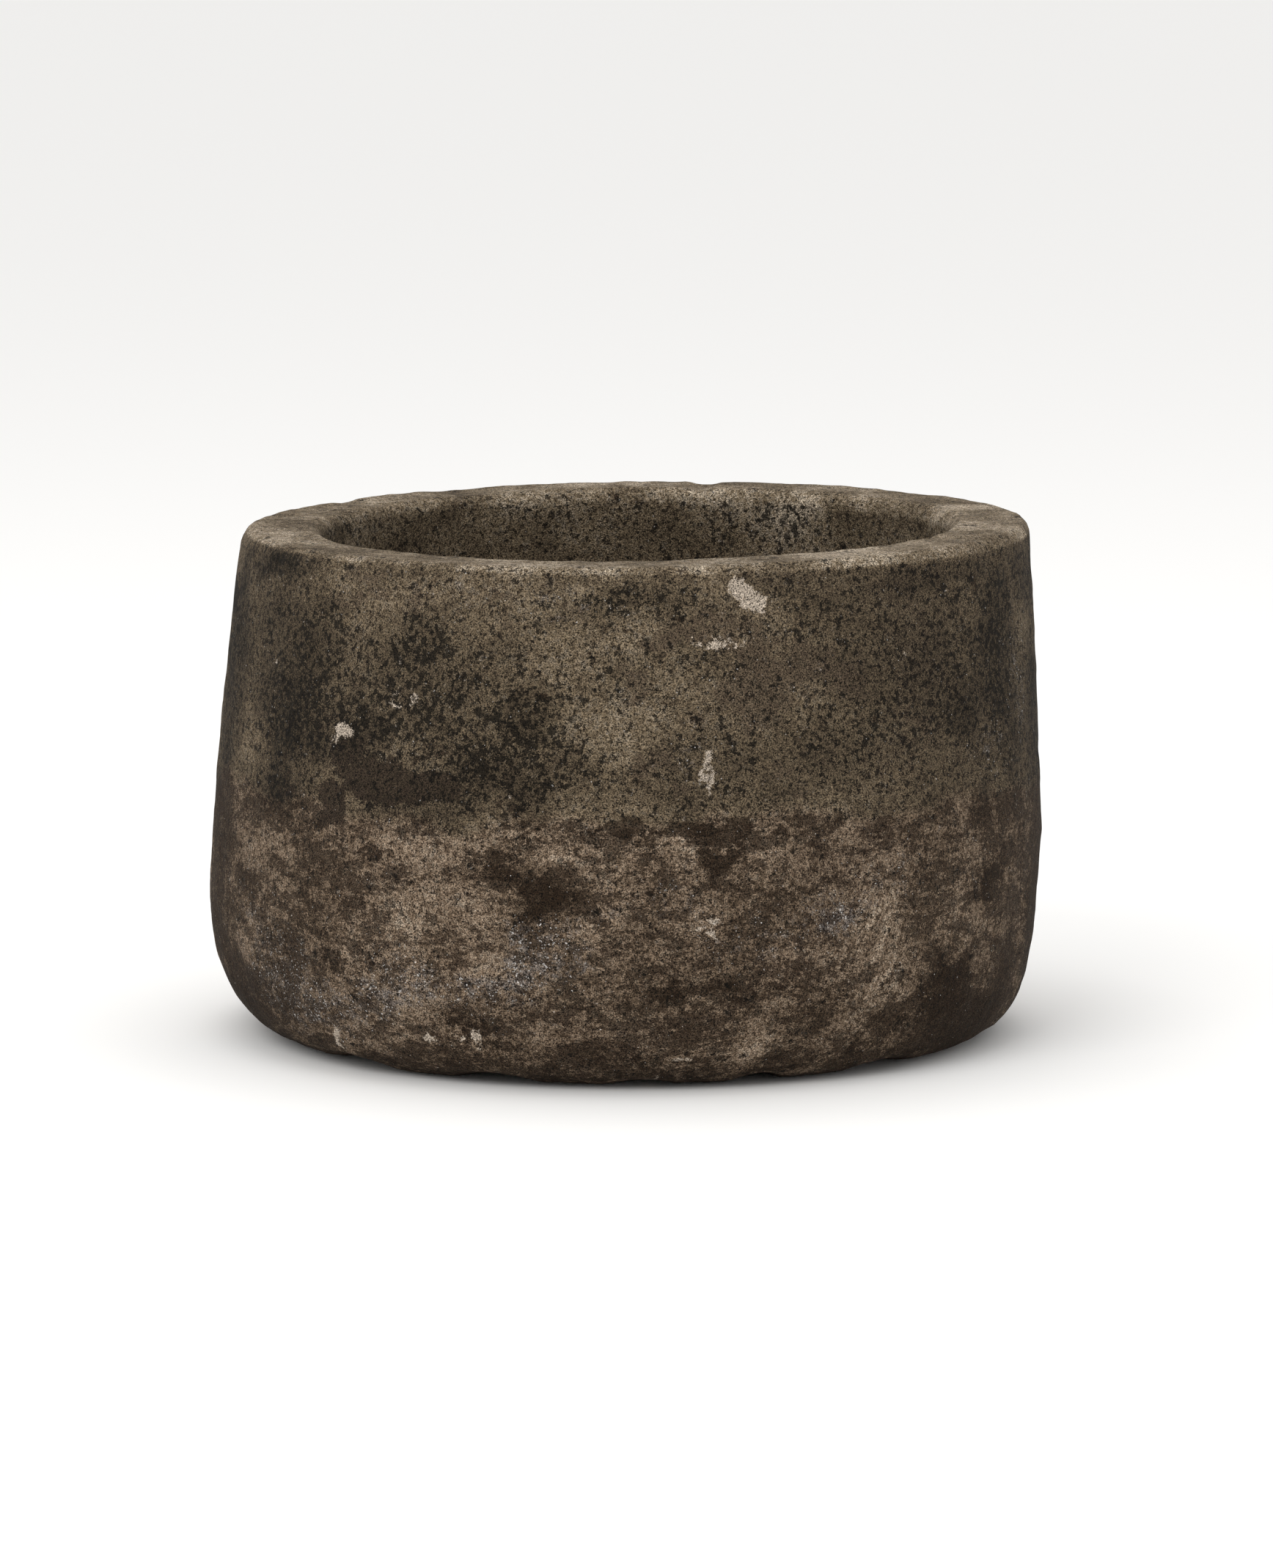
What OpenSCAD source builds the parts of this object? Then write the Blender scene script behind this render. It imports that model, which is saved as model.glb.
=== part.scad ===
// Deep hand-carved stone mortar (molcajete) with its loose hand stone (tejolote).
// Millimetres, +Z up. The origin is on the ground, in the middle of the outline.
// The bowl is a little lopsided: each level's centre wanders along X, as hand carving leaves it.

/* [Bowl outside] */
// Height from the foot to the crown of the rim
bowl_h = 284; // [230:1:350]
// Greatest diameter, at the belly
belly_d = 460; // [380:1:560]
// Height of the belly above the foot
belly_z = 112; // [90:1:140]
// How much smaller the radius is at the mouth than at the belly
mouth_inset = 14; // [0:1:30]
// How much smaller the radius is at the flat foot than at the belly
foot_inset = 58; // [20:1:90]
// Fullness of the heel, from the foot to the belly: 2 is an ellipse, more is squarer
heel_fullness = 3; // [2:0.1:5]
// Rounding of the rim's outer edge
outer_lip_r = 7; // [4:0.5:16]

/* [Lopsidedness] */
// How far the mouth's centre lies from the belly's, along +X
mouth_shift = 5; // [0:0.5:8]
// How far the heel's centre lies from the belly's, along -X
heel_shift = 2.6; // [0:0.1:5]
// How far the foot's centre lies from the belly's, along +X
foot_shift = 1.2; // [0:0.1:5]

/* [Hollow] */
// Thickness of the wall at the rim
rim_wall = 42; // [30:1:50]
// Thickness of the floor at its lowest point
floor_t = 60; // [40:1:80]
// Radius of the dished floor
dish_r = 420; // [300:5:900]
// Radius of the corner between floor and wall
corner_r = 80; // [60:1:100]
// Rounding of the rim's inner edge
inner_lip_r = 8; // [3:0.5:14]

/* [Tejolote] */
// Diameter of the grinding head
head_d = 104; // [80:1:120]
// Length from the grinding face to the end of the grip
tejolote_l = 205; // [160:1:240]
// Diameter of the rounded end of the grip
grip_d = 62; // [50:1:72]
// Radius of the waist that joins head and grip
waist_r = 260; // [120:5:400]
// Lean from upright, towards the wall
lean = 38; // [30:1:45]
// Direction of the lean, anticlockwise from +X
lean_azimuth = 35; // [0:5:355]
// Gap left where it rests against the floor and the wall
rest_gap = 0.4; // [0.3:0.1:1]

/* [Hidden] */

// Facets once round the outside of the bowl
sectors = 60;
// Levels of facets in the heel, in the wall and round the outer lip
heel_rings = 11;
wall_rings = 7;
lip_rings = 4;
// Greatest distance between an arc of an outline and its chords, well under the rest gap
chord_gap = 0.03;
// Facets once round the hollow and once round the hand stone
hollow_facets = 120;
stone_facets = 72;
// How far the hollow is cut past the rim
over = 5;
// How the wall draws in towards the mouth, and how its centre wanders: 1 is straight, more is later
wall_draw = 1.2;
wander_draw = 1.35;
// The inner lip's arc stops short of level and starts a little high, so that it leaves a crisp crown
inner_lip_end = 100;
inner_lip_rise = 0.4;

belly_r = belly_d / 2;
mouth_r = belly_r - mouth_inset;
foot_r = belly_r - foot_inset;
lip_z = bowl_h - outer_lip_r;

hollow_r = mouth_r - rim_wall;
dish_z = floor_t + dish_r;
corner_x = hollow_r - corner_r;
corner_z = dish_z - sqrt(pow(dish_r - corner_r, 2) - pow(corner_x, 2));
corner_start = atan2(corner_x, dish_z - corner_z);

head_r = head_d / 2;
grip_r = grip_d / 2;
spine = tejolote_l - head_r - grip_r;
waist_z = (pow(head_r + waist_r, 2) - pow(grip_r + waist_r, 2) + pow(spine, 2)) / (2 * spine);
waist_x = sqrt(pow(head_r + waist_r, 2) - pow(waist_z, 2));

// The head's centre, out from the hollow's axis, so that the grip's end just reaches the wall
head_x = hollow_r - grip_r - rest_gap - spine * sin(lean);
// The head sits on the dish, or in the corner where the corner is reached first
dish_room = dish_r - head_r - rest_gap;
corner_room = corner_r - head_r - rest_gap;
head_z = head_x < dish_room * sin(corner_start)
    ? dish_z - sqrt(pow(dish_room, 2) - pow(head_x, 2))
    : corner_z - sqrt(pow(corner_room, 2) - pow(head_x - corner_x, 2));

// Radius from the foot to the belly: a rounded heel
function heel_radius(z) =
    foot_r + (belly_r - foot_r) * pow(1 - pow(1 - z / belly_z, heel_fullness), 1 / heel_fullness);

// Radius from the belly to the mouth: drawn in, almost straight
function wall_radius(z) =
    belly_r - mouth_inset * pow((z - belly_z) / (bowl_h - belly_z), wall_draw);

// How far each level's centre lies from the belly's, along X
function wander(z) = z < belly_z
    ? foot_shift * pow(1 - z / belly_z, 2) - heel_shift * sin(180 * z / belly_z)
    : mouth_shift * pow((z - belly_z) / (bowl_h - belly_z), wander_draw);

// Levels of the outside as [radius, z], from the foot up, closer together where it curves most
heel_levels = [for (i = [0 : heel_rings - 1])
    let (z = belly_z * (1 - cos(90 * i / heel_rings))) [heel_radius(z), z]];
wall_levels = [for (i = [0 : wall_rings])
    let (z = belly_z + (lip_z - belly_z) * i / wall_rings) [wall_radius(z), z]];
lip_levels = [for (i = [1 : lip_rings])
    let (a = 90 * i / lip_rings)
    [wall_radius(lip_z) - outer_lip_r * (1 - cos(a)), lip_z + outer_lip_r * sin(a)]];
levels = concat(heel_levels, wall_levels, lip_levels);

// The belly's centre, placed so that the outline reaches as far along -X as along +X
reach_right = max([for (level = levels) level[0] + wander(level[1])]);
reach_left = max([for (level = levels) level[0] - wander(level[1])]);
belly_x = (reach_left - reach_right) / 2;
mouth_x = belly_x + mouth_shift;

// Points of an arc, close enough together to keep its chords within chord_gap of it
function arc(x, z, r, from, to) =
    let (n = ceil(abs(to - from) / (2 * acos(1 - chord_gap / r))))
    [for (i = [0 : n]) let (a = from + (to - from) * i / n) [x + r * cos(a), z + r * sin(a)]];

// Solid outside of the bowl, without the hollow
module outside() {
    rings = len(levels);
    points = [for (level = levels, s = [0 : sectors - 1])
        let (a = 360 * s / sectors)
        [belly_x + wander(level[1]) + level[0] * cos(a), level[0] * sin(a), level[1]]];
    sides = [for (k = [0 : rings - 2], s = [0 : sectors - 1])
        let (t = (s + 1) % sectors)
        [k * sectors + s, (k + 1) * sectors + s, (k + 1) * sectors + t, k * sectors + t]];
    foot = [for (s = [0 : sectors - 1]) s];
    crown = [for (s = [sectors - 1 : -1 : 0]) (rings - 1) * sectors + s];
    polyhedron(points, concat(sides, [foot, crown]), convexity = 4);
}

// The room inside: dished floor, rounded corner, upright wall and eased inner lip
module hollow() {
    lip_x = hollow_r + inner_lip_r;
    profile = concat(
        arc(0, dish_z, dish_r, 270, 270 + corner_start),
        arc(corner_x, corner_z, corner_r, 270 + corner_start, 360),
        arc(lip_x, bowl_h - inner_lip_r + inner_lip_rise, inner_lip_r, 180, inner_lip_end),
        [[lip_x, bowl_h + over], [0, bowl_h + over]]);
    translate([mouth_x, 0, 0]) rotate_extrude($fn = hollow_facets) polygon(profile);
}

// The stone block with its hollow
module bowl() {
    color("#51463a") difference() {
        outside();
        hollow();
    }
}

// The hand stone upright on its own axis, with the head's centre at the origin
module hand_stone() {
    head_turn = atan2(waist_z, waist_x);
    grip_turn = atan2(spine - waist_z, waist_x);
    profile = concat(
        arc(0, 0, head_r, -90, head_turn),
        arc(waist_x, waist_z, waist_r, 180 + head_turn, 180 - grip_turn),
        arc(0, spine, grip_r, -grip_turn, 90));
    rotate_extrude($fn = stone_facets) polygon(profile);
}

// The hand stone at rest in the hollow, leaning on the wall
module tejolote() {
    color("#3c3834")
        translate([mouth_x, 0, 0])
        rotate([0, 0, lean_azimuth])
        translate([head_x, 0, head_z])
        rotate([0, lean, 0])
        hand_stone();
}

bowl();
tejolote();
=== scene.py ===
"""A deep hand-carved stone mortar and its loose hand stone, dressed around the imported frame.

Metres, +Z up, origin on the ground. Around the bowl, a turn of 0 degrees is the front (-Y) and a
turn of 90 degrees is +X. Sizes on the stone are written in millimetres and turned by MM.
"""
import itertools
import math

import bpy
import numpy as np
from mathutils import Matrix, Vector


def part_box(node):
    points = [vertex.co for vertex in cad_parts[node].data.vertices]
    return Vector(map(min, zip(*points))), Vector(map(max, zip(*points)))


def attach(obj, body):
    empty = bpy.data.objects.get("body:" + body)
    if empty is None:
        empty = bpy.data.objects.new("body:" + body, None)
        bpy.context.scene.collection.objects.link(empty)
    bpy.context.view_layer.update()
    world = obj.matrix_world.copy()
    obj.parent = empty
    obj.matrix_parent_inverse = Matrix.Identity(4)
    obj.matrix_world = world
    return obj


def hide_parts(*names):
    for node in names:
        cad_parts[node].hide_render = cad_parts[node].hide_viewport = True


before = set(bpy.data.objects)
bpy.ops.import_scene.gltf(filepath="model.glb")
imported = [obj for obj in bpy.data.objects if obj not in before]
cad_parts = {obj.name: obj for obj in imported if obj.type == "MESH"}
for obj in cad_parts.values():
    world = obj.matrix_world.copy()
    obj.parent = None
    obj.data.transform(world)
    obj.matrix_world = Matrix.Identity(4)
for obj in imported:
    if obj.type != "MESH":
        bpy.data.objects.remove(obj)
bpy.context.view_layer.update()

MM = 0.001

# ---------------------------------------------------------------- sizes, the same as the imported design
bowl_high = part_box("bowl")[1]

# The bowl's outside
BOWL_H = bowl_high.z / MM
BELLY_R = bowl_high.y / MM
BELLY_Z = 112
MOUTH_INSET = 14
FOOT_INSET = 58
MOUTH_R = BELLY_R - MOUTH_INSET
FOOT_R = BELLY_R - FOOT_INSET
HEEL_FULLNESS = 3
WALL_DRAW = 1.2
OUTER_LIP_R = 7
LIP_Z = BOWL_H - OUTER_LIP_R

# How far each level's middle wanders along X
MOUTH_SHIFT = 5
HEEL_SHIFT = 2.6
FOOT_SHIFT = 1.2
WANDER_DRAW = 1.35
BELLY_X = bowl_high.x / MM - BELLY_R

# The hollow: inner lip, upright wall, rounded corner and dished floor
RIM_WALL = 42
FLOOR_T = 60
INNER_LIP_R = 8
INNER_LIP_END = 100
HOLLOW_R = MOUTH_R - RIM_WALL
DISH_R = 420
DISH_Z = FLOOR_T + DISH_R
CORNER_R = 80
CORNER_X = HOLLOW_R - CORNER_R
CORNER_Z = DISH_Z - math.sqrt((DISH_R - CORNER_R) ** 2 - CORNER_X ** 2)
CORNER_START = math.atan2(CORNER_X, DISH_Z - CORNER_Z)

# The hand stone: its head and grip are balls SPINE apart. HEAD_AT is the head's centre where it rests,
# out from the hollow's axis and up from the ground.
HEAD_R = 52
GRIP_R = 31
SPINE = 122
WAIST_R = 260
HEAD_AT = (67.49, 118.65)
LEAN = math.radians(38)
LEAN_AZIMUTH = math.radians(35)

# How finely each stone is meshed: facets once round, the radius of the first ring under the foot, and the
# spacing in mm or the number of rings along the outline
SECTORS = 416
FOOT_START = 12.0
FOOT_SPACING = 14
SIDE_SPACING = 2.4
RIM_SPACING = 2.0
WALL_SPACING = 3.4
FLOOR_SPACING = 6.5
STONE_SECTORS = 220
STONE_RINGS = 190

# How far the crown dips at its front and back, half of its dip at the left
CROWN_DIP = 2.0
# How far below the crown the nicks reach, and how far below it the dip starts
NICK_REACH = 16
DIP_REACH = 12
# Least depth of each skin inside the design's own where the two stones could meet, and the depth of the
# single points that close the dish and the two ends of the hand stone
SKIN_GAP = 0.05
DISH_POLE = 0.5
STONE_POLE = 0.6

# The radius at which a spot's width round the bowl is measured
SPOT_R = 226
# How many random values a noise has, and the multipliers that pick one for each corner of its lattice
NOISE_VALUES = 4096
LATTICE_KEYS = (73856093, 19349663, 83492791)


# ---------------------------------------------------------------- fields of numbers
def lattice_noise(points, cell, seed):
    """Smooth random field from -1 to 1: a random value at each corner of a cubic lattice of the given
    cell, blended between the eight corners round a point by the smooth step 3t^2 - 2t^3."""
    table = np.random.default_rng(seed).uniform(-1, 1, NOISE_VALUES)
    scaled = points / cell
    low = np.floor(scaled).astype(np.int64)
    share = scaled - low
    share = share * share * (3 - 2 * share)
    total = np.zeros(len(points))
    for corner in itertools.product((0, 1), repeat=3):
        key = (low + corner) * LATTICE_KEYS
        weight = np.where(corner, share, 1 - share).prod(axis=1)
        total += table[(key[:, 0] ^ key[:, 1] ^ key[:, 2]) % NOISE_VALUES] * weight
    return total


def rough_noise(points, cell, octaves, seed):
    """Lattice noise summed over octaves, each with half the cell and half the height of the last."""
    total = np.zeros(len(points))
    for octave in range(octaves):
        total += lattice_noise(points, cell / 2 ** octave, seed + octave) / 2 ** octave
    return total


def spots(turn, height, patches):
    """Sum of soft spots, each (turn in degrees, height in mm, half width, half height, strength):
    strength * exp(-q^2), where q is the squared distance in half widths and half heights, so a spot
    has a flat middle and a soft edge. q^2 is held at 40, past which nothing is left of the spot."""
    total = np.zeros(len(turn))
    for at, up, half_w, half_h, strength in patches:
        across = np.radians((turn - at + 180) % 360 - 180) * SPOT_R
        q = (across / half_w) ** 2 + ((height - up) / half_h) ** 2
        total += strength * np.exp(-np.minimum(q * q, 40))
    return total


def step(low, high, value):
    """0 below low, 1 above high, smooth between."""
    t = np.clip((value - low) / (high - low), 0, 1)
    return t * t * (3 - 2 * t)


# ---------------------------------------------------------------- closed skins
def evenly(radius, height, spacing):
    """The same outline with its points moved to about an even spacing along it."""
    along = np.concatenate([[0], np.cumsum(np.hypot(np.diff(radius), np.diff(height)))])
    places = np.linspace(0, along[-1], max(2, round(along[-1] / spacing) + 1))
    return np.interp(places, along, radius), np.interp(places, along, height)


def closed_skin(name, rings, sectors, points, along):
    """A closed skin over a grid of rings by sectors, from the pole below to the pole inside or above.
    points holds the lower pole, then each ring in turn, then the upper pole. The map follows the
    grid: once round is its width, and the way along the outline is its height."""
    ring, sector = np.meshgrid(np.arange(rings - 1), np.arange(sectors), indexing="ij")
    ring, sector = ring.ravel(), sector.ravel()
    onward = (sector + 1) % sectors
    quads = 1 + np.stack([ring * sectors + sector, ring * sectors + onward,
                          (ring + 1) * sectors + onward, (ring + 1) * sectors + sector], axis=1)
    first = np.arange(sectors)
    after = (first + 1) % sectors
    top = rings * sectors + 1
    last = top - sectors
    below = np.stack([np.zeros(sectors, int), 1 + after, 1 + first], axis=1)
    above = np.stack([last + first, last + after, np.full(sectors, top)], axis=1)

    share = np.concatenate([[0], along / along[-1], [1]])
    quad_u = np.stack([sector, sector + 1, sector + 1, sector], axis=1)
    quad_v = share[1 + np.stack([ring, ring, ring + 1, ring + 1], axis=1)]
    below_u = np.stack([first + 0.5, first + 1, first], axis=1)
    below_v = np.tile([0, share[1], share[1]], (sectors, 1))
    above_u = np.stack([first, first + 1, first + 0.5], axis=1)
    above_v = np.tile([share[-2], share[-2], 1], (sectors, 1))
    u = np.concatenate([quad_u.ravel(), below_u.ravel(), above_u.ravel()]) / sectors
    v = np.concatenate([quad_v.ravel(), below_v.ravel(), above_v.ravel()])

    mesh = bpy.data.meshes.new(name)
    mesh.from_pydata((points * MM).tolist(), [], quads.tolist() + below.tolist() + above.tolist())
    layer = mesh.uv_layers.new(name="OFBake")
    layer.uv.foreach_set("vector", np.stack([u, v], axis=1).astype(np.float32).ravel())
    mesh.polygons.foreach_set("use_smooth", np.ones(len(mesh.polygons), bool))
    mesh.update()
    made = bpy.data.objects.new(name, mesh)
    bpy.context.scene.collection.objects.link(made)
    return made


def add_field(piece, name, values):
    """Keeps one number per vertex on the piece, for its material."""
    piece.data.attributes.new(name, "FLOAT", "POINT").data.foreach_set("value", values.astype(np.float32))


# ---------------------------------------------------------------- the bowl
def outer_radius(height):
    """Heel: foot radius + (belly - foot) * (1 - (1 - z / belly_z)^n)^(1/n), with the heel's fullness
    as n. Wall: belly radius less the mouth's inset times a power of the share of the way up."""
    heel = 1 - np.clip(1 - height / BELLY_Z, 0, 1) ** HEEL_FULLNESS
    wall = np.clip((height - BELLY_Z) / (BOWL_H - BELLY_Z), 0, 1)
    return np.where(height < BELLY_Z, FOOT_R + FOOT_INSET * heel ** (1 / HEEL_FULLNESS),
                    BELLY_R - MOUTH_INSET * wall ** WALL_DRAW)


def wander(height):
    """How far each level's middle lies from the belly's along X: back by a half sine below the belly,
    with the foot's own shift dying out as a square, and forward by a power above it."""
    low = np.clip(height / BELLY_Z, 0, 1)
    high = np.clip((height - BELLY_Z) / (BOWL_H - BELLY_Z), 0, 1)
    return np.where(height < BELLY_Z, FOOT_SHIFT * (1 - low) ** 2 - HEEL_SHIFT * np.sin(np.pi * low),
                    MOUTH_SHIFT * high ** WANDER_DRAW)


def bowl_outline():
    """Half section from the foot's middle, out, up the heel and wall, over the rim, down the hollow
    and in to the dish's middle. Returns the points' radius, height and middle along X, the first
    point of the rim and the first point of the hollow."""
    lip_r = float(outer_radius(np.array(LIP_Z)))
    sweep = np.linspace(0, np.pi / 2, 400)
    heel_r = FOOT_R + FOOT_INSET * np.sin(sweep) ** (2 / HEEL_FULLNESS)
    heel_z = BELLY_Z * (1 - np.cos(sweep) ** (2 / HEEL_FULLNESS))
    wall_z = np.linspace(BELLY_Z, LIP_Z, 100)
    turn = np.linspace(0, np.pi / 2, 30)
    inner_turn = np.linspace(math.radians(INNER_LIP_END), np.pi, 30)
    corner_turn = np.linspace(2 * np.pi, 1.5 * np.pi + CORNER_START, 60)
    dish_turn = np.linspace(1.5 * np.pi + CORNER_START, 1.5 * np.pi, 40)

    foot = evenly(np.array([FOOT_START, FOOT_R]), np.zeros(2), FOOT_SPACING)
    outside_r = np.concatenate([heel_r, outer_radius(wall_z)[1:]])
    outside_z = np.concatenate([heel_z, wall_z[1:]])
    outside = evenly(outside_r, outside_z, SIDE_SPACING)
    rim_r = np.concatenate([lip_r - OUTER_LIP_R * (1 - np.cos(turn)),
                            HOLLOW_R + INNER_LIP_R * (1 + np.cos(inner_turn))])
    rim_z = np.concatenate([LIP_Z + OUTER_LIP_R * np.sin(turn),
                            BOWL_H - INNER_LIP_R * (1 - np.sin(inner_turn))])
    rim = evenly(rim_r, rim_z, RIM_SPACING)
    wall = evenly(np.full(2, float(HOLLOW_R)), np.array([BOWL_H - INNER_LIP_R, CORNER_Z]), WALL_SPACING)
    floor_r = np.concatenate([CORNER_X + CORNER_R * np.cos(corner_turn), DISH_R * np.cos(dish_turn)])
    floor_z = np.concatenate([CORNER_Z + CORNER_R * np.sin(corner_turn),
                              DISH_Z + DISH_R * np.sin(dish_turn)])
    floor = evenly(floor_r, floor_z, FLOOR_SPACING)

    # each stretch starts where the last one ends, so that point is kept once
    stretches = (foot, outside, rim, wall, floor)
    cut = [foot] + [(part[0][1:], part[1][1:]) for part in stretches[1:]]
    radius = np.concatenate([part[0] for part in cut])[:-1]
    height = np.concatenate([part[1] for part in cut])[:-1]
    crown = len(foot[0]) + len(outside[0]) - 1
    inside = crown + len(rim[0]) - 1
    middle = np.where(np.arange(len(radius)) < inside, wander(height), float(MOUTH_SHIFT))
    return radius, height, middle, crown, inside


# Hollows knocked into the outside, each (turn, height, half width, half height, depth in mm)
DENTS = (
    (-23, 40, 16, 7, 1.8), (-20, 30, 26, 9, 2.6), (-46, 24, 12, 6, 1.2), (36, 33, 24, 12, 1.4),
    (-52, 60, 20, 16, 1.0), (8, 118, 30, 12, 0.8), (24, 210, 40, 26, 0.9), (-62, 200, 30, 30, 0.8),
    (58, 150, 26, 30, 0.8), (-8, 190, 26, 22, 0.6), (70, 70, 18, 20, 1.2), (110, 60, 30, 18, 2.0),
    (160, 90, 40, 20, 1.6), (205, 40, 26, 12, 2.2), (250, 150, 34, 30, 1.2), (290, 50, 24, 14, 1.6),
)
# Chips out of the foot's edge, so that it stands on lumps between them
FOOT_CHIPS = (
    (2, 0, 17, 5, 2.2), (21, 0, 15, 6, 3.2), (-22, 0, 24, 6, 3.0), (-48, 0, 26, 8, 3.6),
    (44, 0, 26, 7, 3.4), (75, 0, 30, 7, 3.0), (-80, 0, 28, 7, 2.6), (120, 0, 34, 7, 3.4),
    (165, 0, 30, 7, 3.0), (215, 0, 34, 8, 3.6), (250, 0, 24, 6, 2.8),
)
# Nicks in the rim's crown, each (turn, height, half width, half height, depth in mm)
RIM_NICKS = (
    (169, 282, 9, 14, 1.6), (-128, 282, 12, 14, 1.0), (-150, 282, 20, 14, 0.8), (62, 282, 10, 12, 0.9),
)


def make_bowl():
    """The bowl: its outline carried once round, each point then moved along the outline's own normal
    by the sum of slow carving waves, crumbly grain, dents, foot chips and rim nicks, never past the
    design's box."""
    radius, height, middle, crown, inside = bowl_outline()
    rings = len(radius)
    along_r = np.gradient(radius)
    along_z = np.gradient(height)
    length = np.hypot(along_r, along_z)
    out_r, out_z = along_z / length, -along_r / length
    turn = np.tile(np.arange(SECTORS) * 360 / SECTORS - 180, rings)
    ring = np.repeat(np.arange(rings), SECTORS)
    angle = np.radians(turn)
    aim = np.stack([np.sin(angle), -np.cos(angle)], axis=1)
    r, z, mid = radius[ring], height[ring], middle[ring]
    points = np.stack([BELLY_X + mid + r * aim[:, 0], r * aim[:, 1], z], axis=1)
    normal = np.stack([out_r[ring] * aim[:, 0], out_r[ring] * aim[:, 1], out_z[ring]], axis=1)
    is_outside = ring < crown
    is_foot = (z <= 0) & is_outside
    shallow = np.where(is_foot, step(FOOT_R, FOOT_R - 30, r), 0)

    # slow carving waves, held in at the belly, where the design's box is widest
    tight = np.where(is_outside, np.exp(-((z - BELLY_Z) / 45) ** 2), 0)
    move = (0.8 - 0.4 * tight) * rough_noise(points, 85, 3, 11) - 0.5 * tight
    # crumbly grain, then what is knocked out of the outside, the foot's edge and the crown
    move += 0.35 * rough_noise(points * (1, 1, 0.8), 9, 2, 31)
    move += np.where(is_outside, -spots(turn, z, DENTS) - spots(turn, z, FOOT_CHIPS), 0)
    move -= np.where(z > BOWL_H - NICK_REACH, spots(turn, np.full(len(z), BOWL_H), RIM_NICKS), 0)
    # the crown lies level at its right and dips towards its left
    move -= step(BOWL_H - DIP_REACH, BOWL_H, z) * CROWN_DIP * (1 - aim[:, 0])
    # the hollow's skin stays clear of the hand stone, and the foot stays flat in its middle
    move = np.where(ring >= inside, np.minimum(move, -SKIN_GAP), move)
    move = np.where(is_foot, np.minimum(move, 0) * (1 - shallow), move)
    points += normal * move[:, None]
    points[:, 2] = np.clip(points[:, 2], 0, BOWL_H)
    points[:, 0] = np.clip(points[:, 0], -bowl_high.x / MM, bowl_high.x / MM)
    points[:, 1] = np.clip(points[:, 1], -BELLY_R, BELLY_R)

    low_pole = np.array([[BELLY_X + FOOT_SHIFT, 0, 0]])
    top_pole = np.array([[BELLY_X + MOUTH_SHIFT, 0, FLOOR_T - DISH_POLE]])
    along = np.cumsum(np.hypot(np.diff(radius, prepend=0), np.diff(height, prepend=0)))
    bowl = closed_skin("mortar_bowl", rings, SECTORS, np.concatenate([low_pole, points, top_pole]),
                       np.append(along, along[-1] + radius[-1]))
    paint_bowl(bowl, points, turn, z, ring, crown, inside)
    return bowl


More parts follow.
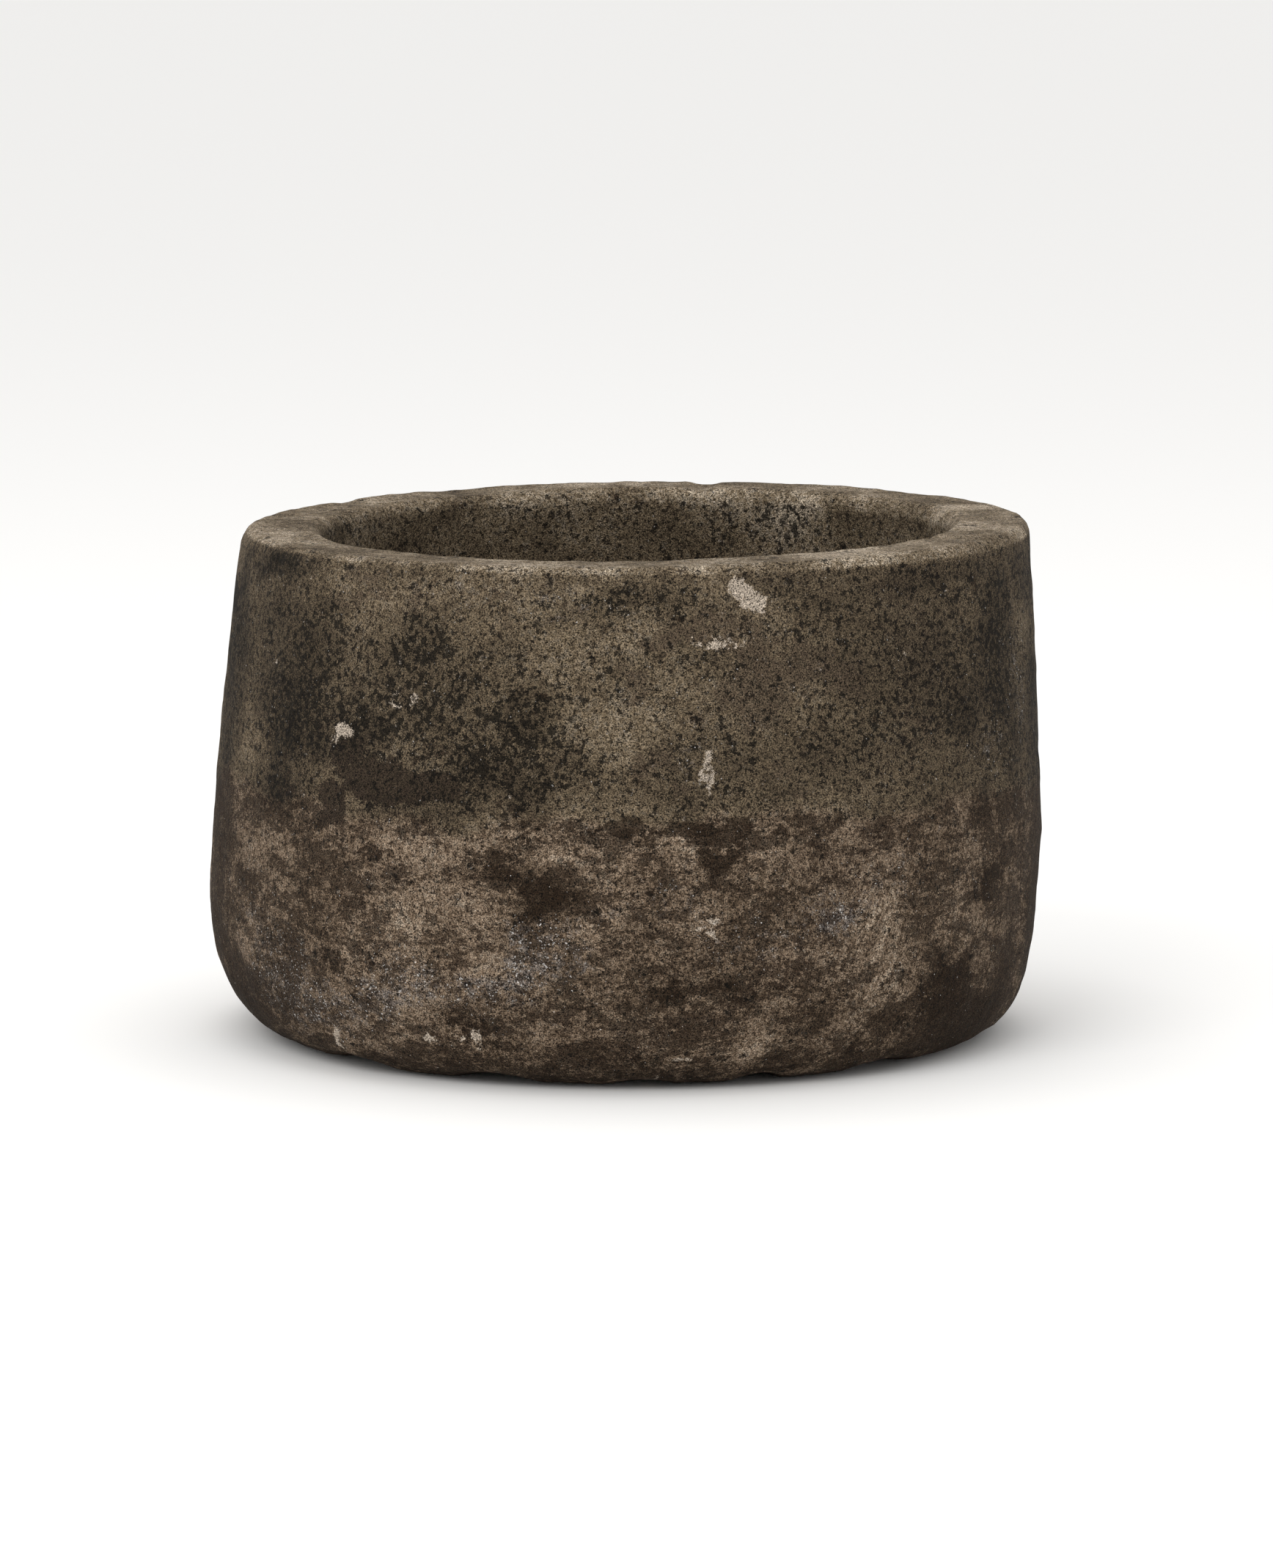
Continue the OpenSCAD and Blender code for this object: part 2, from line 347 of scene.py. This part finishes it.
# ---------------------------------------------------------------- where the weathering and the painted shade lie
# Each spot is (turn, height, half width, half height, strength), in degrees and millimetres.
# Lighter and darker stretches of the stone, and painted shade that darkens the two sides: the spots at turn
# 82, height 150, and at turn -78, heights 210 and 90
TONE_AND_SIDE_SHADE = (
    (-37, 266, 60, 10, 0.16), (-31, 228, 34, 24, -0.02), (-24, 188, 34, 24, -0.04),
    (-7, 222, 32, 30, 0.08), (-2, 194, 30, 18, 0.22), (1, 250, 14, 14, 0.10), (-14, 202, 18, 16, -0.18),
    (14, 258, 30, 16, 0.14), (24, 238, 50, 20, 0.04), (28, 204, 26, 14, 0.14), (14, 188, 14, 12, -0.10),
    (40, 210, 50, 50, -0.08), (62, 205, 40, 60, -0.18), (-58, 222, 40, 44, -0.20), (-50, 192, 40, 26, -0.16),
    (-68, 163, 24, 24, 0.06), (-58, 150, 40, 20, -0.16), (-30, 148, 40, 10, -0.12), (26, 160, 14, 10, 0.10),
    (-30, 131, 30, 13, 0.08), (-62, 118, 28, 12, 0.16), (-44, 122, 34, 16, -0.12), (-30, 92, 18, 16, 0.14),
    (-11, 131, 12, 8, 0.18), (7, 134, 11, 6, 0.16), (-22, 70, 22, 30, 0.12), (-8, 86, 24, 14, 0.06),
    (-18, 104, 30, 10, 0.10), (-17, 124, 10, 12, -0.14), (-10, 112, 16, 12, -0.20), (-15, 114, 28, 14, -0.06),
    (11, 94, 12, 11, 0.14), (22, 118, 34, 20, 0.02), (30, 134, 12, 10, 0.12), (35, 72, 30, 40, 0.10),
    (43, 108, 24, 20, -0.04), (49, 46, 26, 20, -0.20), (60, 99, 16, 15, -0.16), (68, 130, 22, 60, -0.14),
    (5, 52, 46, 16, -0.10), (18, 30, 40, 16, -0.02), (-30, 46, 24, 12, 0.10), (-52, 62, 26, 12, -0.20),
    (-64, 66, 14, 18, 0.16), (-66, 36, 30, 18, -0.26), (-44, 88, 20, 16, -0.08), (28, 86, 22, 14, -0.10),
    (8, 34, 14, 10, -0.16), (40, 34, 10, 10, -0.30), (58, 22, 50, 16, -0.46), (-4, 20, 20, 8, -0.18),
    # the last two spots on the next line are painted shade on the right and left sides
    (16, 20, 14, 8, 0.16), (56, 72, 16, 18, 0.06), (82, 150, 32, 150, -0.30), (-78, 210, 30, 64, -0.26),
    (-66, 272, 40, 8, -0.26), (-48, 260, 20, 12, -0.12), (40, 270, 90, 8, -0.18), (74, 264, 14, 16, -0.16),
    # the first spot on the next line is painted shade on the left side
    (-78, 90, 30, 64, -0.26), (-74, 24, 28, 18, -0.40), (-56, 34, 14, 12, -0.16), (-64, 100, 14, 14, -0.26),
    (56, 146, 12, 12, -0.22), (60, 122, 16, 16, -0.14), (68, 42, 18, 22, -0.26), (-24, 74, 10, 18, -0.10),
    (-56, 148, 16, 16, -0.16), (-40, 190, 14, 12, -0.16), (-14, 160, 14, 12, -0.16), (8, 146, 14, 10, -0.12),
    (-56, 176, 16, 12, -0.12), (52, 188, 14, 14, -0.10), (28, 48, 20, 10, -0.10), (-22, 36, 12, 10, -0.18),
    (-64, 48, 14, 10, -0.12), (-12, 94, 10, 10, -0.14), (-40, 76, 12, 12, 0.08), (-24, 22, 12, 10, 0.10),
)
# The sooty tide mark at half height
SOOT = (
    (-33, 159, 27, 11, 1.0), (-40, 173, 24, 14, 0.85), (-45, 150, 15, 12, 0.85), (-26, 160, 16, 9, 0.7),
    (-54, 160, 16, 16, 0.5), (-17, 156, 12, 6, 0.6), (-30, 185, 20, 12, 0.4),
)
# Thick black lichen on the upper half
LICHEN = (
    (-31, 242, 18, 12, 0.40), (-32, 217, 36, 24, 0.22), (-24, 190, 48, 36, 0.24), (-15, 176, 44, 20, 0.24),
    (-1, 263, 18, 11, 0.36), (8, 262, 22, 9, 0.20), (-18, 232, 30, 20, 0.14), (-6, 200, 34, 26, 0.14),
    (-46, 205, 44, 36, 0.22), (30, 244, 40, 18, 0.22), (48, 228, 30, 38, 0.26), (64, 225, 26, 44, 0.34),
    (14, 190, 24, 22, 0.14), (34, 192, 50, 32, 0.18), (-50, 238, 28, 20, 0.18), (20, 256, 28, 12, 0.18),
)
# Smooth grey-brown films with crisp edges
FILM = (
    (1, 221, 13, 12, 0.8), (4, 244, 12, 9, 0.75), (10, 248, 18, 7, 0.7), (19, 231, 34, 22, 0.85),
    (4, 181, 21, 16, 0.75), (14, 213, 20, 15, 0.6), (29, 222, 26, 16, 0.6), (22, 200, 26, 12, 0.45),
    (-20, 262, 30, 11, 0.45), (-9, 252, 18, 11, 0.5), (-42, 264, 46, 12, 0.7), (24, 172, 30, 12, 0.45),
    (42, 186, 28, 20, 0.45), (9, 160, 24, 10, 0.45),
)
# Damp brown stains
BROWN = (
    (-2, 144, 12, 5, 0.9), (4, 141, 18, 6, 1.0), (12, 147, 19, 7, 1.1), (11, 130, 10, 13, 0.9),
    (15, 138, 7, 12, 0.9), (22, 138, 7, 5, 0.8), (-10, 112, 18, 11, 0.75), (-17, 126, 14, 9, 0.7),
    (-12, 100, 20, 8, 0.55), (49, 44, 28, 20, 0.85), (60, 99, 17, 16, 0.7), (28, 148, 12, 6, 0.55),
    (56, 264, 10, 8, 0.8), (-16, 150, 20, 6, 0.55), (12, 54, 34, 10, 0.5), (-22, 30, 22, 10, 0.7),
    (-42, 62, 16, 10, 0.5), (-36, 126, 8, 6, 0.8), (20, 70, 20, 10, 0.4), (-50, 132, 14, 10, 0.5),
)
# Pale lime crusts
LIME = (
    (-54, 48, 34, 32, 0.62), (-32, 54, 26, 20, 0.62), (-11, 78, 28, 22, 0.66), (28, 96, 20, 18, 0.72),
    (16, 84, 30, 18, 0.36), (-42, 40, 30, 18, 0.50), (-22, 52, 24, 16, 0.42), (4, 106, 30, 14, 0.30),
    (70, 200, 14, 26, 0.45), (-8, 262, 26, 9, 0.25), (-25, 262, 22, 9, 0.30), (-62, 92, 22, 30, 0.36),
    (10, 188, 16, 20, 0.35), (60, 170, 20, 20, 0.36), (38, 110, 26, 18, 0.34), (-16, 64, 20, 16, 0.40),
)
# Scars down to chalky fresh stone
CHALK = (
    (14.8, 264, 11, 9, 1.4), (10.5, 254, 8, 4, 0.7), (11, 243, 18, 3, 0.8), (10.5, 179, 4, 14, 0.9),
    (-43, 187, 5, 6, 1.2), (-34, 211, 9, 8, 0.6), (12, 92, 9, 8, 0.8), (-46, 24, 5, 9, 1.0),
    (-29, 22, 4, 4, 1.1), (-21, 24, 4, 8, 1.1), (8, 15, 9, 3, 1.0), (3, 2, 4, 4, 1.1), (-24, 23, 3, 3, 1.0),
)
# Where the stone is drawn out in strokes
BRUSHED = ((35, 70, 34, 44, 1.0), (52, 60, 30, 40, 0.6), (11, 96, 14, 14, 0.5), (62, 90, 20, 50, 0.4))


def strewn(seed, count, low, high, size, strength):
    """Spots strewn at random over the sides and the back, where nothing is listed one by one."""
    draw = np.random.default_rng(seed)
    return tuple(zip(draw.uniform(86, 274, count), draw.uniform(low, high, count),
                     draw.uniform(0.6, 1.6, count) * size, draw.uniform(0.35, 0.9, count) * size,
                     draw.uniform(0.4, 1, count) * strength))


def paint_bowl(bowl, points, turn, z, ring, crown, inside):
    """Works out, for each vertex, how much of each kind of weathering lies there, and where painted shade
    darkens the two sides and the bottom of the heel. The places are bent by slow noise first, so that
    no spot keeps a plain oval outline."""
    bent_turn = turn + 2.0 * rough_noise(points, 26, 3, 51)
    bent_z = z + 7 * rough_noise(points, 26, 3, 61)
    outside = np.where(ring < crown, 1.0, 0.0)
    upper = step(142, 152, z + 7 * rough_noise(points * (1, 1, 1.6), 30, 4, 71))
    cloud = rough_noise(points * (1, 1, 1.5), 60, 3, 81)
    within = np.where(ring >= inside, 1.0, 0.0)
    rim = 1 - outside - within
    back = strewn(3, 26, 20, 260, 34, 0.2) + strewn(4, 22, 20, 260, 30, -0.2)

    # the tone takes the table's stretches, with the painted shade on the two sides, and is darkened over the
    # bottom 30 mm as painted shade under the heel
    tone = spots(bent_turn, bent_z, TONE_AND_SIDE_SHADE + back) + 0.04 * cloud - 0.10 * step(30, 6, bent_z)
    lichen = spots(bent_turn, bent_z, LICHEN + strewn(6, 14, 150, 262, 26, 0.8))
    brown = spots(bent_turn, bent_z, BROWN + strewn(8, 16, 20, 150, 16, 1.1))
    fields = {
        "tone": outside * 0.95 * tone + 0.20 * rim + within * (0.20 + 0.34 * cloud),
        # dirt on the lower half of the outside; inside the hollow it grows darker from 200 mm down to 90 mm
        "dirt_and_hollow_darkening": outside * (1 - upper) * (0.50 - 1.4 * tone) + within * 0.4 * step(200, 90, z),
        "soot": outside * spots(bent_turn, bent_z, SOOT + strewn(5, 6, 120, 190, 26, 1.2)),
        "lichen": outside * upper * (0.26 - 0.8 * tone + 0.10 * cloud + lichen)
        + within * (0.42 + 0.30 * cloud) * step(60, 200, z) + 0.10 * rim,
        "film": outside * spots(bent_turn, bent_z, FILM + strewn(7, 14, 160, 262, 18, 1.1)),
        # the brown coat is also laid over the bottom 24 mm as painted shade under the heel
        "brown": outside * (brown + 0.5 * step(24, 8, bent_z))
        + within * (0.46 * step(272, 235, z) + 0.4 * cloud),
        "lime": outside * spots(bent_turn, bent_z, LIME + strewn(9, 12, 20, 120, 18, 1.0)),
        "chalk": outside * spots(bent_turn, bent_z, CHALK + strewn(10, 8, 20, 262, 7, 1.2)),
        "brushed": outside * spots(turn, z, BRUSHED),
        "upper": outside * upper + within + rim,
        "worn": rim + 0.5 * outside * step(262, 274, z) + within * step(262, 274, z),
    }
    for name, values in fields.items():
        padded = np.concatenate([values[:1], values, values[-1:]])
        add_field(bowl, name, padded)


# ---------------------------------------------------------------- the hand stone
def make_hand_stone():
    """The hand stone: a ball for the head, a hollow waist and a rounded grip, as one outline carried
    once round, moved inwards by slow waves and by pores, then leaned as it rests in the bowl."""
    waist_z = ((HEAD_R + WAIST_R) ** 2 - (GRIP_R + WAIST_R) ** 2 + SPINE ** 2) / (2 * SPINE)
    waist_x = math.sqrt((HEAD_R + WAIST_R) ** 2 - waist_z ** 2)
    head_turn = math.atan2(waist_z, waist_x)
    grip_turn = math.atan2(SPINE - waist_z, waist_x)
    head = np.linspace(-np.pi / 2, head_turn, 300)
    waist = np.linspace(np.pi + head_turn, np.pi - grip_turn, 300)[1:]
    grip = np.linspace(-grip_turn, np.pi / 2, 200)[1:]
    radius = np.concatenate([HEAD_R * np.cos(head), waist_x + WAIST_R * np.cos(waist),
                             GRIP_R * np.cos(grip)])
    height = np.concatenate([HEAD_R * np.sin(head), waist_z + WAIST_R * np.sin(waist),
                             SPINE + GRIP_R * np.sin(grip)])
    total = np.hypot(np.diff(radius), np.diff(height)).sum()
    radius, height = evenly(radius, height, total / (STONE_RINGS + 1))
    along_r, along_z = np.gradient(radius)[1:-1], np.gradient(height)[1:-1]
    ends = height[[0, -1]]
    radius, height = radius[1:-1], height[1:-1]
    rings = len(radius)
    length = np.hypot(along_r, along_z)
    ring = np.repeat(np.arange(rings), STONE_SECTORS)
    angle = np.tile(np.arange(STONE_SECTORS) * 2 * np.pi / STONE_SECTORS, rings)
    aim = np.stack([np.sin(angle), -np.cos(angle)], axis=1)
    points = np.column_stack([radius[ring, None] * aim, height[ring]])
    normal = np.column_stack([(along_z / length)[ring, None] * aim, (-along_r / length)[ring]])
    along_stone = points[:, 2]
    polish = step(18, -24, along_stone)
    pores = step(0.42, 0.8, lattice_noise(points, 5.0, 91)) * (1 - 0.75 * polish)
    move = -0.7 + 0.5 * rough_noise(points, 40, 3, 93) - 1.1 * pores
    points += normal * np.minimum(move, -SKIN_GAP)[:, None]
    poles = [[[0, 0, ends[0] + STONE_POLE]], [[0, 0, ends[1] - STONE_POLE]]]
    points = np.concatenate([poles[0], points, poles[1]])
    along_stone = points[:, 2]

    lean = np.array([[math.cos(LEAN), 0, math.sin(LEAN)], [0, 1, 0], [-math.sin(LEAN), 0, math.cos(LEAN)]])
    swing = np.array([[math.cos(LEAN_AZIMUTH), -math.sin(LEAN_AZIMUTH), 0],
                      [math.sin(LEAN_AZIMUTH), math.cos(LEAN_AZIMUTH), 0], [0, 0, 1]])
    points = (points @ lean.T + (HEAD_AT[0], 0, HEAD_AT[1])) @ swing.T + (BELLY_X + MOUTH_SHIFT, 0, 0)
    along = np.linspace(1, rings, rings)
    stone = closed_skin("hand_stone", rings, STONE_SECTORS, points, np.append(along, rings + 1))
    add_field(stone, "polish", step(18, -24, along_stone))
    return stone


# ---------------------------------------------------------------- materials
def srgb(code):
    """An sRGB hex colour as linear red, green, blue and 1."""
    parts = [int(code[i:i + 2], 16) / 255 for i in (1, 3, 5)]
    return tuple(c / 12.92 if c <= 0.04045 else ((c + 0.055) / 1.055) ** 2.4 for c in parts) + (1,)


def add(tree, kind, links=None, **settings):
    """Adds one node. settings are its properties; links gives inputs by name or number, each a value
    or another node's output."""
    made = tree.nodes.new(kind)
    for name, value in settings.items():
        setattr(made, name, value)
    for name, value in (links or {}).items():
        if isinstance(value, bpy.types.NodeSocket):
            tree.links.new(value, made.inputs[name])
        else:
            made.inputs[name].default_value = value
    return made


def set_ramp(node, stops):
    """Gives a colour ramp its stops, each (place, hex colour)."""
    ramp = node.color_ramp
    while len(ramp.elements) < len(stops):
        ramp.elements.new(0.5)
    for element, (place, code) in zip(ramp.elements, stops):
        element.position = place
        element.color = srgb(code)


def start_material(name):
    """An empty material with its shader, its output and Object coordinates."""
    material = bpy.data.materials.new(name)
    material.use_nodes = True
    tree = material.node_tree
    tree.nodes.clear()
    shader = add(tree, "ShaderNodeBsdfPrincipled")
    add(tree, "ShaderNodeOutputMaterial", {"Surface": shader.outputs["BSDF"]})
    place = add(tree, "ShaderNodeTexCoord").outputs["Object"]
    return material, tree, shader, place


# How far the grit's lights and darks reach, and how high the relief stands in mm
GRIT_CONTRAST = 4.8
RELIEF = 1.8
# Noises read by the stone's material: grain size in mm, detail, roughness, how far the grain is drawn
# out along its own axes, and how those axes are turned in degrees. "brush" lies along the strokes on
# the right of the front, which lean 27 degrees from upright.
STONE_NOISES = {
    "grit": (0.7, 1.0, 0.50, (1, 1, 1), (0, 0, 0)),
    "grain": (2.6, 3.0, 0.70, (1, 1, 1), (0, 0, 0)),
    "clump": (9.0, 4.0, 0.80, (1, 1, 1), (0, 25, 0)),
    "cloud": (42.0, 6.0, 0.72, (1.4, 1.4, 1), (0, 0, 0)),
    "speck": (3.4, 4.0, 0.75, (1, 1, 1), (20, 0, 30)),
    "spark": (1.3, 1.0, 0.50, (1, 1, 1), (35, 10, 0)),
    "mottle": (9.0, 5.0, 0.88, (2.2, 2.2, 1), (0, 0, 60)),
    "brush": (4.0, 4.0, 0.78, (1, 1, 7), (0, 27, 42)),
    "edge": (16.0, 7.0, 0.74, (1.3, 1.3, 1), (0, 0, 15)),
    "fray": (6.0, 5.0, 0.80, (1, 1, 1), (10, 0, 50)),
}
# What the bare stone's tone is summed from: noise, weight, and the field that limits it, if any
STONE_TONES = (("grain", 1.9, None), ("clump", 0.9, None), ("cloud", 0.9, None),
               ("brush", 1.6, "brushed"), ("cloud", 1.2, "worn"))
# The tone of stone that bears none of these, and the colours that a tone from 0 to 1 gives: warm tan low
# down, greyer above
BARE_TONE = 0.53
WARM_STONE = ((0.0, "#1d150e"), (0.3, "#4a3d30"), (0.55, "#6c5c4c"), (0.8, "#8a7967"), (1.0, "#b0a08d"))
GREY_STONE = ((0.0, "#1a160f"), (0.3, "#443a2e"), (0.55, "#635644"), (0.8, "#827461"), (1.0, "#a99b88"))
# Coats over the stone, from the first laid to the last: the field that places it, its colour, the noise
# that frays its edge and by how much, how far clumps gather it, the values where it starts and is full,
# and how much it hides
COATS = (
    ("film", "#4d4135", "edge", 3.8, 0.8, 0.50, 0.74, 0.62),
    ("lime", "#6d6865", "fray", 3.2, 2.2, 0.40, 1.05, 0.60),
    ("dirt_and_hollow_darkening", "#2a2017", "mottle", 4.0, 1.6, 0.40, 0.62, 0.78),
    ("soot", "#2e251d", "edge", 3.0, 0.8, 0.46, 0.56, 0.90),
    # the brown coat also carries the painted shade under the heel
    ("brown", "#231910", "edge", 3.8, 1.4, 0.54, 0.70, 0.80),
    ("lichen", "#2a2319", "grain", 5.0, 1.6, 0.44, 0.70, 0.62),
    ("lichen", "#100d09", "speck", 5.0, 2.6, 0.56, 0.72, 0.86),
    ("chalk", "#a89b8c", "fray", 4.0, 1.2, 0.70, 0.95, 0.92),
    ("lime", "#aeaaa6", "spark", 6.0, 2.4, 1.60, 1.95, 0.90),
)


def weathered_stone():
    """Andesite carved by hand and left out for years: a dull tan-brown stone, mottled with black
    lichen, grey films, soot, brown damp stains, lime and chalky scars, with painted shade darkening its
    two sides and the bottom of its heel. It gives the eye a matte, speckled surface with no shine
    anywhere."""
    material, tree, shader, place = start_material("weathered_andesite")
    names = ("tone", "soot", "lichen", "film", "brown", "lime", "chalk", "brushed", "dirt_and_hollow_darkening", "upper", "worn")
    field = {name: add(tree, "ShaderNodeAttribute", attribute_name=name).outputs["Fac"] for name in names}
    noise = {}
    for name, (size, detail, rough, stretch, turned) in STONE_NOISES.items():
        drawn = add(tree, "ShaderNodeMapping", {"Vector": place, "Scale": stretch,
                                                "Rotation": [math.radians(a) for a in turned]},
                    vector_type="TEXTURE")
        found = add(tree, "ShaderNodeTexNoise", {"Vector": drawn.outputs[0], "Scale": 1 / (size * MM),
                                                 "Detail": detail, "Roughness": rough})
        noise[name] = add(tree, "ShaderNodeMath", {0: found.outputs[0], 1: -0.5}, operation="ADD").outputs[0]

    # the bare stone: a sum of tones, read off a warm ramp low down and a greyer one above
    total = add(tree, "ShaderNodeMath", {0: field["tone"], 1: BARE_TONE}, operation="ADD").outputs[0]
    for name, weight, limit in STONE_TONES:
        part = noise[name]
        if limit:
            part = add(tree, "ShaderNodeMath", {0: part, 1: field[limit]}, operation="MULTIPLY").outputs[0]
        total = add(tree, "ShaderNodeMath", {0: part, 1: weight, 2: total},
                    operation="MULTIPLY_ADD").outputs[0]
    warm = add(tree, "ShaderNodeValToRGB", {"Fac": total})
    set_ramp(warm, WARM_STONE)
    grey = add(tree, "ShaderNodeValToRGB", {"Fac": total})
    set_ramp(grey, GREY_STONE)
    colour = add(tree, "ShaderNodeMix", {0: field["upper"], 6: warm.outputs[0], 7: grey.outputs[0]},
                 data_type="RGBA").outputs[2]

    # the coats, one over another
    for name, code, fray, ragged, gathered, start, full, hides in COATS:
        level = add(tree, "ShaderNodeMath", {0: noise[fray], 1: ragged, 2: field[name]},
                    operation="MULTIPLY_ADD").outputs[0]
        level = add(tree, "ShaderNodeMath", {0: noise["clump"], 1: gathered, 2: level},
                    operation="MULTIPLY_ADD").outputs[0]
        mask = add(tree, "ShaderNodeMapRange", {"Value": level, "From Min": start, "From Max": full,
                                                "To Max": hides}, interpolation_type="SMOOTHSTEP").outputs[0]
        colour = add(tree, "ShaderNodeMix", {0: mask, 6: colour, 7: srgb(code)}, data_type="RGBA").outputs[2]

    # grit: light grains and dark pits over everything
    bright = add(tree, "ShaderNodeMath", {0: noise["grit"], 1: GRIT_CONTRAST, 2: 0.98},
                 operation="MULTIPLY_ADD").outputs[0]
    colour = add(tree, "ShaderNodeHueSaturation", {"Color": colour, "Value": bright}).outputs[0]
    tree.links.new(colour, shader.inputs["Base Color"])

    # relief: grit and clumps
    relief = add(tree, "ShaderNodeMath", {0: noise["clump"], 1: 2.0, 2: noise["grain"]},
                 operation="MULTIPLY_ADD").outputs[0]
    relief = add(tree, "ShaderNodeMath", {0: noise["grit"], 1: 0.5, 2: relief},
                 operation="MULTIPLY_ADD").outputs[0]
    bump = add(tree, "ShaderNodeBump", {"Height": relief, "Distance": RELIEF * MM, "Strength": 0.8})
    tree.links.new(bump.outputs[0], shader.inputs["Normal"])
    shader.inputs["Roughness"].default_value = 0.93
    shader.inputs["Specular IOR Level"].default_value = 0.12
    return material


def basalt():
    """Vesicular basalt, pecked to shape and worn by use. It gives the eye a dark grey, matte stone full
    of small pores, smoother and a little lighter on the grinding face."""
    material, tree, shader, place = start_material("pecked_basalt")
    grain = add(tree, "ShaderNodeTexNoise", {"Vector": place, "Scale": 1 / (1.6 * MM), "Detail": 3.0,
                                             "Roughness": 0.65}).outputs[0]
    cloud = add(tree, "ShaderNodeTexNoise", {"Vector": place, "Scale": 1 / (14 * MM), "Detail": 4.0,
                                             "Roughness": 0.6}).outputs[0]
    pores = add(tree, "ShaderNodeTexVoronoi", {"Vector": place, "Scale": 1 / (2.6 * MM)}).outputs["Distance"]
    polish = add(tree, "ShaderNodeAttribute", attribute_name="polish").outputs["Fac"]
    tone = add(tree, "ShaderNodeMath", {0: grain, 1: 0.5, 2: cloud}, operation="MULTIPLY_ADD").outputs[0]
    tone = add(tree, "ShaderNodeMath", {0: polish, 1: 0.12, 2: tone}, operation="MULTIPLY_ADD").outputs[0]
    ramp = add(tree, "ShaderNodeValToRGB", {"Fac": tone})
    set_ramp(ramp, ((0.45, "#1f1c19"), (0.7, "#3a3632"), (0.85, "#4d4842"), (1.0, "#7c746a")))
    pit = add(tree, "ShaderNodeMapRange", {"Value": pores, "From Min": 0.12, "From Max": 0.30}).outputs[0]
    colour = add(tree, "ShaderNodeMix", {0: pit, 6: srgb("#15120f"), 7: ramp.outputs[0]}, data_type="RGBA")
    tree.links.new(colour.outputs[2], shader.inputs["Base Color"])
    relief = add(tree, "ShaderNodeMath", {0: pit, 1: 0.8, 2: grain}, operation="MULTIPLY_ADD").outputs[0]
    bump = add(tree, "ShaderNodeBump", {"Height": relief, "Distance": 0.6 * MM, "Strength": 0.7})
    tree.links.new(bump.outputs[0], shader.inputs["Normal"])
    shader.inputs["Roughness"].default_value = 0.8
    shader.inputs["Specular IOR Level"].default_value = 0.35
    return material


# ---------------------------------------------------------------- studio
def plain_material(name, code, roughness):
    """One even matte paint, for the floor."""
    material, _, shader, _ = start_material(name)
    shader.inputs["Base Color"].default_value = srgb(code)
    shader.inputs["Roughness"].default_value = roughness
    return material


# Area lights: name, place in metres, side in metres and power in watts, all turned to LIT_POINT
LIGHTS = (("key", (-1.7, -3.0, 2.6), 2.4, 52), ("top", (-0.1, 0.2, 2.8), 1.8, 18))
LIT_POINT = (0, 0, 0.15)


def make_studio():
    """A wide pale floor under an even white sky, a large soft key from the front left and a soft top
    light over the mouth."""
    bpy.ops.mesh.primitive_plane_add(size=120, location=(0, 0, 0))
    floor = bpy.context.object
    floor.name = "studio_floor"
    floor.data.materials.append(plain_material("pale_floor_paint", "#faf9f7", 1.0))
    world = bpy.data.worlds.new("white_room")
    world.use_nodes = True
    world.node_tree.nodes["Background"].inputs["Color"].default_value = (1, 1, 1, 1)
    world.node_tree.nodes["Background"].inputs["Strength"].default_value = 0.9
    bpy.context.scene.world = world
    for name, at, size, power in LIGHTS:
        lamp = bpy.data.lights.new(name, "AREA")
        lamp.size = size
        lamp.energy = power
        holder = bpy.data.objects.new(name, lamp)
        holder.location = at
        holder.rotation_euler = (Vector(LIT_POINT) - Vector(at)).to_track_quat("-Z", "Y").to_euler()
        bpy.context.scene.collection.objects.link(holder)
    bpy.context.scene.view_settings.view_transform = "Standard"


# The camera stands CAMERA_FAR metres from a pivot on the belly's axis, CAMERA_PIVOT metres up, and is
# raised round it from level by CAMERA_RISE. CAMERA_AIM is the point it looks at, in millimetres.
CAMERA_LENS = 190.5
CAMERA_FAR = 4.6
CAMERA_PIVOT = 0.143
CAMERA_RISE = math.radians(8.08)
CAMERA_AIM = (5.8, -1.0, 136.0)


def make_camera():
    """A long lens far off in front, looking a little down on the bowl from about its middle's height."""
    camera = bpy.data.cameras.new("camera")
    camera.sensor_fit = "VERTICAL"
    camera.sensor_height = 36
    camera.lens = CAMERA_LENS
    camera.clip_end = 200
    holder = bpy.data.objects.new("camera", camera)
    back, up = CAMERA_FAR * math.cos(CAMERA_RISE), CAMERA_FAR * math.sin(CAMERA_RISE)
    holder.location = (BELLY_X * MM, -back, CAMERA_PIVOT + up)
    aim = Vector(CAMERA_AIM) * MM
    holder.rotation_euler = (aim - holder.location).to_track_quat("-Z", "Y").to_euler()
    bpy.context.scene.collection.objects.link(holder)
    bpy.context.scene.camera = holder


make_camera()
make_studio()

bowl = make_bowl()
bowl.data.materials.append(weathered_stone())
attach(bowl, "bowl")
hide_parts("bowl")

hand_stone = make_hand_stone()
hand_stone.data.materials.append(basalt())
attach(hand_stone, "tejolote")
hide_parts("tejolote")
